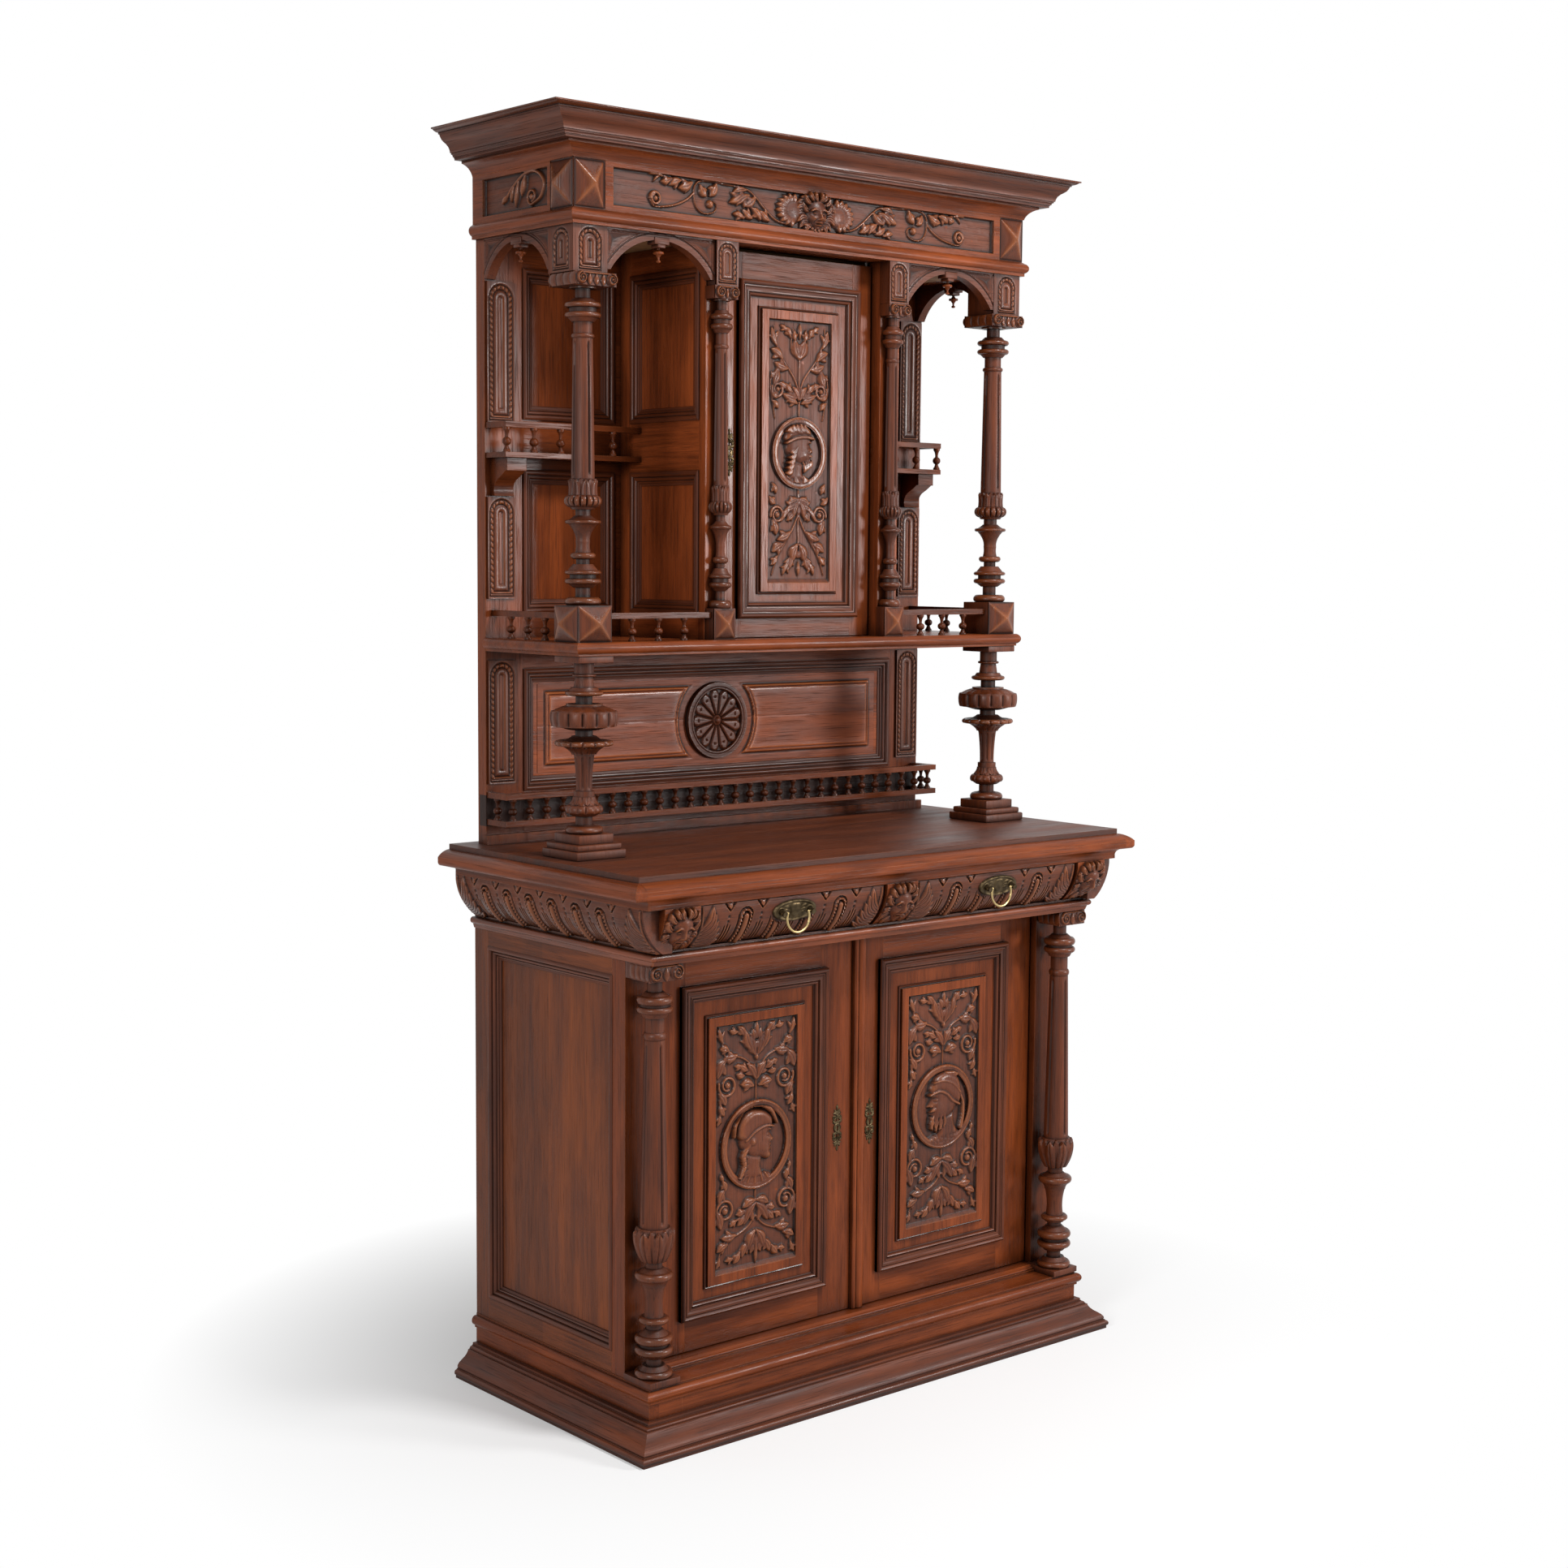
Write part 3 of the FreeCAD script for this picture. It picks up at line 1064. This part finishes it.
def make_rosette():
    """Carved flower on the low back panel: ring, petal disc and boss."""
    sunk = UPPER_REAR + UPPER_BACK - MOULD_RISE * 0.6
    middle = (LOW_PANEL_LOW + LOW_PANEL_TOP) / 2 + ROSETTE_LIFT
    ring = disc_front(0, middle, sunk, ROSETTE_R, ROSETTE_RISE)
    ring = ring.cut(disc_front(0, middle, sunk, ROSETTE_R - MEDAL_RING, ROSETTE_RISE)).Solids[0]
    petals = disc_front(0, middle, sunk, ROSETTE_R - MEDAL_RING - PLAY, ROSETTE_RISE / 2)
    boss = Part.makeCone(ROSETTE_BOSS, ROSETTE_BOSS / 2, ROSETTE_RISE / 2, at(0, sunk + ROSETTE_RISE / 2, middle),
                         V(0, -1, 0))
    return [ring, petals.fuse(boss).removeSplitter().Solids[0]]


def make_carved_strips():
    """Three fluted strips on each long stile."""
    front = UPPER_REAR + UPPER_BACK
    pieces = []
    for low, high in ((STRIP_1_LOW, STRIP_1_TOP), (STRIP_2_LOW, STRIP_2_TOP), (STRIP_3_LOW, STRIP_3_TOP)):
        pieces += both(box(STRIP_IN, STRIP_OUT, front, front + STRIP_THICK, low, high))
    return pieces


def spindle_row(places, low, high):
    return [turned(x, d, low, high, SPINDLE_R, SPINDLE_SHARES) for x, d in places]


def spread(first, last, count):
    return [first + (last - first) * index / (count - 1) for index in range(count)]


def make_back_gallery():
    """Two rails on a row of spindles, returned to the back at both ends."""
    rear = UPPER_REAR + UPPER_BACK
    inner = GALLERY_FRONT - GALLERY_RAIL_W
    pieces = []
    for low in (GALLERY_RAIL_LOW, GALLERY_RAIL_TOP):
        start = SKIRT_FRONT if low < SKIRT_TOP else rear
        pieces.append(box(-GALLERY_HALF, GALLERY_HALF, inner, GALLERY_FRONT, low, low + RAIL_THICK))
        pieces += both(box(GALLERY_HALF - GALLERY_RAIL_W, GALLERY_HALF, start, inner, low, low + RAIL_THICK))
    middle = GALLERY_FRONT - GALLERY_RAIL_W / 2
    end = GALLERY_HALF - GALLERY_RAIL_W * 1.4
    places = [(x, middle) for x in spread(-end, end, GALLERY_COUNT)]
    side = GALLERY_HALF - GALLERY_RAIL_W / 2
    places += [(-side, (rear + inner) / 2), (side, (rear + inner) / 2)]
    return pieces + spindle_row(places, GALLERY_RAIL_LOW + RAIL_THICK, GALLERY_RAIL_TOP)


def square(x, depth, side, low, high):
    return box(x - side / 2, x + side / 2, depth - side / 2, depth + side / 2, low, high)


def make_baluster():
    """Right baluster: stepped plinth, turned body and the plate under the shelf."""
    return [square(BALUSTER_X, BALUSTER_D, BALUSTER_PLINTH, TABLE_TOP, PLINTH_STEP_1),
            square(BALUSTER_X, BALUSTER_D, BALUSTER_MID, PLINTH_STEP_1, PLINTH_STEP_2),
            square(BALUSTER_X, BALUSTER_D, BALUSTER_BLOCK, PLINTH_STEP_2, BALUSTER_LOW),
            turned(BALUSTER_X, BALUSTER_D, BALUSTER_LOW, PLATE_LOW, BALUSTER_R, BALUSTER_SHARES),
            square(BALUSTER_X, BALUSTER_D, CORNER_PLATE, PLATE_LOW, SHELF_LOW)]


def make_main_shelf():
    rear = UPPER_REAR + UPPER_BACK
    board = box(-SHELF_HALF, SHELF_HALF, rear, SHELF_FRONT, SHELF_LOW, SHELF_TOP)
    strips = mitred_run(nosing(SHELF_LOW, SHELF_TOP, NOSING_OUT), SHELF_HALF, SHELF_FRONT, rear, 0,
                        NOSING_OUT, NOSING_OUT)
    return [board] + strips


def make_upper_column():
    """Right column: diamond foot block, turned shaft, scroll slab and capital block."""
    half = FOOT_SIDE / 2
    foot = pyramid_block(COLUMN_X - half, COLUMN_X + half, COLUMN_D - half, COLUMN_D + half, SHELF_TOP, FOOT_TOP,
                         PYRAMID_RISE)
    shaft = turned(COLUMN_X, COLUMN_D, FOOT_TOP, SLAB_LOW, COLUMN_R, UPPER_COLUMN_SHARES)
    return [foot, shaft, square(COLUMN_X, COLUMN_D, SLAB_SIDE, SLAB_LOW, SLAB_TOP),
            square(CAP_X, CAP_D, CAP_SIDE, SLAB_TOP, CAP_TOP)]


def make_cupboard_side():
    """Right side of the upper cupboard: post, framed side, its panels and mouldings."""
    rear = UPPER_REAR + UPPER_BACK
    inner = CUP_SIDE_X - CUP_SIDE_THICK
    outer = CUP_SIDE_X
    board = outer - CUP_SIDE_THICK * 0.5
    pieces = [box(inner, outer, rear, CUP_PANEL_REAR, SHELF_TOP, CAP_TOP),
              box(inner, outer, CUP_PANEL_FRONT, CUP_POST_FACE, SHELF_TOP, CAP_TOP)]
    for low, high in ((SHELF_TOP, NICHE_LOW_LOW), (NICHE_LOW_TOP, NICHE_UP_LOW), (NICHE_UP_TOP, CAP_TOP)):
        pieces.append(box(inner, outer, CUP_PANEL_REAR, CUP_PANEL_FRONT, low, high))
    width = MOULD_WIDTH * 0.5
    for low, high in ((NICHE_LOW_LOW, NICHE_LOW_TOP), (NICHE_UP_LOW, NICHE_UP_TOP)):
        pieces.append(box(inner, board, CUP_PANEL_REAR, CUP_PANEL_FRONT, low, high))
        pieces += outer_frame(board, CUP_PANEL_REAR, CUP_PANEL_FRONT, low, high,
                              sunk_moulding(width, outer - board), width)
    return pieces


def make_cupboard_post():
    return box(CUP_POST_IN, CUP_SIDE_X - CUP_SIDE_THICK, CUP_POST_REAR, CUP_POST_FACE, SHELF_TOP, CAP_TOP)


def make_cupboard():
    """Both sides, both posts and the lath that stops the door."""
    back = CUP_DOOR_FACE - CUP_DOOR_THICK
    pieces = []
    for piece in make_cupboard_side():
        pieces += both(piece)
    left = mirrored(make_cupboard_post()).cut(keeper_slot(-CUP_POST_IN, -1, CUP_ESCUTCHEON_Z, back)).Solids[0]
    pieces += [left, make_cupboard_post()]
    lath = box(-CUP_POST_IN, -CUP_POST_IN + GUIDE_W, CUP_POST_REAR, back - PLAY, NICHE_UP_LOW, CUP_DOOR_TOP)
    return pieces + [lath]


def make_engaged_column():
    """Right half-column in front of the cupboard post, on its own foot and capital blocks."""
    half = ENGAGED_SIDE / 2
    slab = ENGAGED_SLAB / 2
    shaft = turned(ENGAGED_X, ENGAGED_D, ENGAGED_FOOT_TOP, SLAB_LOW, ENGAGED_R, UPPER_COLUMN_SHARES)
    room = box(ENGAGED_X - slab, ENGAGED_X + slab, CUP_POST_FACE, ENGAGED_FRONT + half, ENGAGED_FOOT_TOP, SLAB_LOW)
    shaft = shaft.common(room).Solids[0]
    return [box(ENGAGED_X - half, ENGAGED_X + half, CUP_POST_FACE, ENGAGED_FRONT, SHELF_TOP, ENGAGED_FOOT_TOP),
            shaft,
            box(ENGAGED_X - half, ENGAGED_X + slab, CUP_POST_FACE, ENGAGED_FRONT + REED, SLAB_LOW, SLAB_TOP),
            box(ENGAGED_X - half, ENGAGED_X + half, CUP_POST_FACE, ENGAGED_FRONT, SLAB_TOP, CAP_TOP)]


def make_cupboard_shelf():
    inner = CUP_SIDE_X - CUP_SIDE_THICK
    rear = UPPER_REAR + UPPER_BACK
    low = CUP_SHELF_Z - SHELF_THICK
    shelf = box(-inner, inner, rear, CUP_POST_REAR, low, CUP_SHELF_Z)
    bearer = box(inner - BEARER, inner, rear, CUP_POST_REAR, low - BEARER, low)
    return [shelf] + both(bearer)


def make_upper_door():
    """Door hung on its right edge, with the room of its lock in the left stile."""
    lap = MOULD_WIDTH * 0.45
    stile = CUP_MOULD_HALF - lap
    back = CUP_DOOR_FACE - CUP_DOOR_THICK
    room = lock_place(-CUP_DOOR_EDGE, -1, CUP_ESCUTCHEON_Z, back)
    frame = make_door_frame(-CUP_DOOR_EDGE, stile, -stile, CUP_DOOR_EDGE, CUP_DOOR_FACE, CUP_DOOR_THICK,
                            CUP_DOOR_LOW, CUP_DOOR_TOP,
                            (-CUP_MOULD_HALF, CUP_MOULD_HALF, CUP_MOULD_LOW, CUP_MOULD_TOP), [room])
    field = (-CUP_FIELD_HALF, CUP_FIELD_HALF, CUP_FIELD_LOW, CUP_FIELD_TOP)
    panel = make_door_panel(-stile, stile, CUP_MOULD_LOW + lap, CUP_MOULD_TOP - lap, field, CUP_DOOR_FACE,
                            PANEL_THICK, (0, CUP_MEDAL_Z, CUP_MEDAL_R))
    return frame, panel


def make_niche_shelf():
    """Right niche shelf on its scrolled bracket."""
    rear = UPPER_REAR + UPPER_BACK
    low = NICHE_SHELF_TOP - NICHE_SHELF_THICK
    shelf = box(CUP_SIDE_X, NICHE_SHELF_OUT, rear, NICHE_SHELF_FRONT, low, NICHE_SHELF_TOP)
    out = BRACKET_OUT
    rise = low - BRACKET_LOW
    profile = [(rear, BRACKET_LOW), (rear + out * 0.25, BRACKET_LOW),
               (rear + out * 0.45, BRACKET_LOW + rise * 0.45, (rear + out * 0.25, BRACKET_LOW + rise * 0.30)),
               (rear + out * 0.90, low - rise * 0.34, (rear + out * 0.62, BRACKET_LOW + rise * 0.52)),
               (rear + out, low - rise * 0.34),
               (rear + out, low), (rear, low)]
    bracket = run_x(profile, BRACKET_X - BRACKET_W / 2, BRACKET_X + BRACKET_W / 2)
    return [shelf, bracket]


def make_galleries():
    """Right-hand niche rail and shelf rails on their spindles."""
    rear = UPPER_REAR + UPPER_BACK
    slim = GALLERY_RAIL_SLIM
    front = NICHE_SHELF_FRONT
    top = NICHE_RAIL_LOW + RAIL_THICK
    pieces = [box(CUP_SIDE_X, NICHE_SHELF_OUT, front - slim, front, NICHE_RAIL_LOW, top),
              box(NICHE_SHELF_OUT - slim, NICHE_SHELF_OUT, rear, front - slim, NICHE_RAIL_LOW, top)]
    middle = front - slim / 2
    places = [(x, middle) for x in spread(CUP_SIDE_X + slim * 5, NICHE_SHELF_OUT - slim / 2, NICHE_COUNT)]
    pieces += spindle_row(places, NICHE_SHELF_TOP, NICHE_RAIL_LOW)
    foot_x = COLUMN_X - FOOT_SIDE / 2
    foot_d = COLUMN_D - FOOT_SIDE / 2
    top = SHELF_RAIL_LOW + RAIL_THICK
    engaged = ENGAGED_X + ENGAGED_SIDE / 2
    pieces.append(box(SIDE_RAIL_X - slim / 2, SIDE_RAIL_X + slim / 2, rear, foot_d, SHELF_RAIL_LOW, top))
    pieces.append(box(engaged, foot_x, FRONT_RAIL_D - slim / 2, FRONT_RAIL_D + slim / 2, SHELF_RAIL_LOW, top))
    side = spread(rear, foot_d, SHELF_COUNT + 2)[1:-1]
    row = spread(engaged, foot_x, SHELF_COUNT + 2)[1:-1]
    places = [(SIDE_RAIL_X, d) for d in side] + [(x, FRONT_RAIL_D) for x in row]
    return pieces + spindle_row(places, SHELF_TOP, SHELF_RAIL_LOW)


def arch_outline(first, last):
    """Arched board between two blocks, with a short leg at each end."""
    middle = (first + last) / 2
    return [(first, CAP_TOP), (last, CAP_TOP), (last, ARCH_FOOT), (last - ARCH_LEG, ARCH_FOOT),
            (first + ARCH_LEG, ARCH_FOOT, (middle, ARCH_CROWN)), (first, ARCH_FOOT)]


def make_arches():
    """Right-hand front arch and side arch with a turned pendant under each crown."""
    engaged = ENGAGED_X + ENGAGED_SIDE / 2
    block = CAP_X - CAP_SIDE / 2
    face = CAP_D + CAP_SIDE / 2
    rear = UPPER_REAR + UPPER_BACK
    front = run_depth(arch_outline(engaged, block), face - ARCH_THICK, face)
    side = run_x(arch_outline(rear, CAP_D - CAP_SIDE / 2), UPPER_X - ARCH_THICK, UPPER_X)
    top = ARCH_CROWN - PLAY
    drops = [turned((engaged + block) / 2, face - ARCH_THICK / 2, PENDANT_LOW, top, PENDANT_R, PENDANT_SHARES),
             turned(UPPER_X - ARCH_THICK / 2, (rear + CAP_D - CAP_SIDE / 2) / 2, PENDANT_LOW, top, PENDANT_R,
                    PENDANT_SHARES)]
    return [front, side], drops


def make_frieze():
    """Front, side and rear boards between the diamond corner blocks."""
    block_x = FRIEZE_X - FRIEZE_BLOCK
    block_d = FRIEZE_D - FRIEZE_BLOCK
    board_x = FRIEZE_X - FRIEZE_BOARD
    corner = pyramid_block(block_x, FRIEZE_X - PYRAMID_RISE / 2, block_d, FRIEZE_D - PYRAMID_RISE / 2, TORUS_TOP,
                           FRIEZE_TOP, PYRAMID_RISE)
    front = box(-block_x, block_x, FRIEZE_D - FRIEZE_BOARD, FRIEZE_D, TORUS_TOP, FRIEZE_TOP)
    front = front.cut(box(-FRIEZE_PANEL_HALF, FRIEZE_PANEL_HALF, FRIEZE_D - FRIEZE_SINK, FRIEZE_D,
                          FRIEZE_PANEL_LOW, FRIEZE_PANEL_TOP)).Solids[0]
    side = box(board_x, FRIEZE_X, UPPER_REAR, block_d, TORUS_TOP, FRIEZE_TOP)
    side = side.cut(box(FRIEZE_X - FRIEZE_SINK, FRIEZE_X, FRIEZE_SIDE_REAR, FRIEZE_SIDE_FRONT,
                        FRIEZE_PANEL_LOW, FRIEZE_PANEL_TOP)).Solids[0]
    rear = box(-board_x, board_x, UPPER_REAR, UPPER_REAR + FRIEZE_BOARD, TORUS_TOP, FRIEZE_TOP)
    return both(corner) + both(side) + [front, rear]


def make_torus():
    inner = ENTABLATURE_RAIL
    out = TORUS_OUT
    low = CAP_TOP + REED * 1.5
    points = [(-inner, CAP_TOP), (out * 0.25, CAP_TOP), (out * 0.25, low),
              (out * 0.25, TORUS_TOP - REED / 2, (out, (low + TORUS_TOP) / 2)), (0, TORUS_TOP), (-inner, TORUS_TOP)]
    return mitred_run(points, FRIEZE_X, FRIEZE_D, UPPER_REAR, inner, out, out)


def make_cornice():
    """Cove strips and the overhanging cornice strips above them."""
    inner = TOP_RAIL * 0.6
    ratio = CORNICE_OUT_FRONT / CORNICE_OUT_SIDE
    out = CORNICE_COVE_OUT
    lip = COVE_LIP - REED
    cove = [(-inner, FRIEZE_TOP), (0, FRIEZE_TOP), (out, lip, (out * 0.36, FRIEZE_TOP + (lip - FRIEZE_TOP) * 0.64)),
            (out, COVE_LIP), (-inner, COVE_LIP)]
    low = mitred_run(cove, FRIEZE_X, FRIEZE_D, UPPER_REAR, inner, out, out * ratio)
    reach = CORNICE_OUT_SIDE
    rise = CORNICE_TOP - COVE_LIP
    crown = [(-inner, COVE_LIP), (reach * 0.46, COVE_LIP), (reach * 0.47, COVE_LIP + rise * 0.12),
             (reach * 0.60, COVE_LIP + rise * 0.36, (reach * 0.515, COVE_LIP + rise * 0.27)),
             (reach * 0.78, COVE_LIP + rise * 0.68, (reach * 0.71, COVE_LIP + rise * 0.46)),
             (reach * 0.82, COVE_LIP + rise * 0.68), (reach * 0.82, COVE_LIP + rise * 0.76),
             (reach * 0.93, COVE_LIP + rise * 0.82), (reach, CORNICE_TOP), (-inner, CORNICE_TOP)]
    high = mitred_run(crown, FRIEZE_X, FRIEZE_D, UPPER_REAR, inner, reach, CORNICE_OUT_FRONT)
    return low, high


def make_cornice_boards():
    """Soffit under the frieze, rear rail of the cornice, dust board and its cleats."""
    inner = TOP_RAIL * 0.6
    half = FRIEZE_X - inner
    front = FRIEZE_D - inner * CORNICE_OUT_FRONT / CORNICE_OUT_SIDE
    soffit_half = FRIEZE_X - ENTABLATURE_RAIL
    soffit = box(-soffit_half, soffit_half, UPPER_REAR, FRIEZE_D - ENTABLATURE_RAIL, CAP_TOP, CAP_TOP + SOFFIT_THICK)
    rear = box(-half, half, UPPER_REAR, UPPER_REAR + FRIEZE_BOARD, FRIEZE_TOP, DUST_LOW)
    dust_top = DUST_LOW + DUST_THICK
    dust = box(-half, half, UPPER_REAR, front, DUST_LOW, dust_top)
    cleat = box(CLEAT_X, CLEAT_X + CLEAT_LONG, UPPER_REAR + CLEAT_LONG, front - inner, dust_top, CLEAT_TOP)
    return [soffit, rear, dust] + both(cleat)


def flip(shapes):
    return [mirrored(shape) for shape in shapes]


def export(node, shapes):
    for shape in shapes:
        if not shape.isValid() or shape.Volume <= 0 or len(shape.Solids) != 1:
            print("bad solid in", node, shape.isValid(), shape.Volume, len(shape.Solids))
    Part.makeCompound(shapes).exportStep("parts/" + node + ".step")
    print(node, len(shapes))


def main():
    os.makedirs("parts", exist_ok=True)
    door_back = DOOR_FACE - DOOR_THICK
    edge = DOOR_GAP / 2
    export("plinth_moulding", make_plinth())
    export("base_frame", make_base_frame())
    export("sill_board", make_sill())
    export("lower_right_side", make_lower_side())
    export("lower_left_side", flip(make_lower_side()))
    export("front_posts", both(make_front_post()))
    export("lower_back", make_lower_back())
    export("lower_columns", make_lower_column() + flip(make_lower_column()))
    export("lower_shelf", make_lower_shelf())
    frame, panel = make_lower_door([lock_place(edge, -1, ESCUTCHEON_Z, door_back)])
    export("lower_right_door_frame", frame)
    export("lower_right_door_panel", panel)
    slot = mirrored(keeper_slot(-edge, -1, ESCUTCHEON_Z, door_back))
    frame, panel = make_lower_door([slot])
    export("lower_left_door_frame", flip(frame))
    export("lower_left_door_panel", flip(panel))
    export("door_astragal", make_astragal())
    export("lower_right_escutcheon", make_escutcheon(ESCUTCHEON_X_RIGHT, ESCUTCHEON_Z, DOOR_FACE))
    export("lower_left_escutcheon", make_escutcheon(ESCUTCHEON_X_LEFT, ESCUTCHEON_Z, DOOR_FACE))
    case, bolt = make_lock(edge, -1, ESCUTCHEON_Z, door_back)
    export("lower_lock_case", case)
    export("lower_lock_bolt", bolt)
    pins = make_pivots(DOOR_EDGE - PIVOT_INSET, DOOR_FACE - PIVOT_INSET, DOOR_LOW, DOOR_TOP, STEP_TOP, WAIST_LOW)
    pins += flip(pins)
    pins += make_pivots(CUP_DOOR_EDGE - PIVOT_INSET, CUP_DOOR_FACE - PIVOT_INSET, CUP_DOOR_LOW, CUP_DOOR_TOP,
                        SHELF_TOP, CAP_TOP)
    export("door_pivots", pins)
    export("waist_board", make_waist())
    export("mask_blocks", make_mask_blocks())
    export("side_aprons", both(make_side_apron()))
    export("drawer_guides", make_drawer_guides())
    front, crate = make_drawer()
    plate, bail, pivot = make_pull()
    print("bail pivot", pivot)
    export("right_drawer_front", front)
    export("right_drawer_box", crate)
    export("right_pull_plate", plate)
    export("right_pull_bail", bail)
    export("left_drawer_front", flip(front))
    export("left_drawer_box", flip(crate))
    export("left_pull_plate", flip(plate))
    export("left_pull_bail", flip(bail))
    export("top_cove", make_top_cove())
    export("table_edge", make_table_edge())
    export("table_planks", make_table_planks())
    export("back_frame", make_back_frame())
    export("back_panels", make_back_panels())
    export("rosette", make_rosette())
    export("carved_strips", make_carved_strips())
    export("back_gallery", make_back_gallery())
    export("balusters", make_baluster() + flip(make_baluster()))
    export("main_shelf", make_main_shelf())
    export("upper_columns", make_upper_column() + flip(make_upper_column()))
    export("cupboard_case", make_cupboard())
    export("engaged_columns", make_engaged_column() + flip(make_engaged_column()))
    export("cupboard_shelf", make_cupboard_shelf())
    frame, panel = make_upper_door()
    export("upper_door_frame", frame)
    export("upper_door_panel", panel)
    cup_back = CUP_DOOR_FACE - CUP_DOOR_THICK
    export("upper_escutcheon", make_escutcheon(CUP_ESCUTCHEON_X, CUP_ESCUTCHEON_Z, CUP_DOOR_FACE))
    case, bolt = make_lock(-CUP_DOOR_EDGE, -1, CUP_ESCUTCHEON_Z, cup_back)
    export("upper_lock_case", case)
    export("upper_lock_bolt", bolt)
    export("niche_shelves", make_niche_shelf() + flip(make_niche_shelf()))
    export("niche_galleries", make_galleries() + flip(make_galleries()))
    boards, drops = make_arches()
    export("arches", boards + flip(boards))
    export("pendants", drops + flip(drops))
    export("frieze", make_frieze())
    low, high = make_cornice()
    export("frieze_mouldings", make_torus() + low)
    export("cornice", high)
    export("cornice_boards", make_cornice_boards())


main()
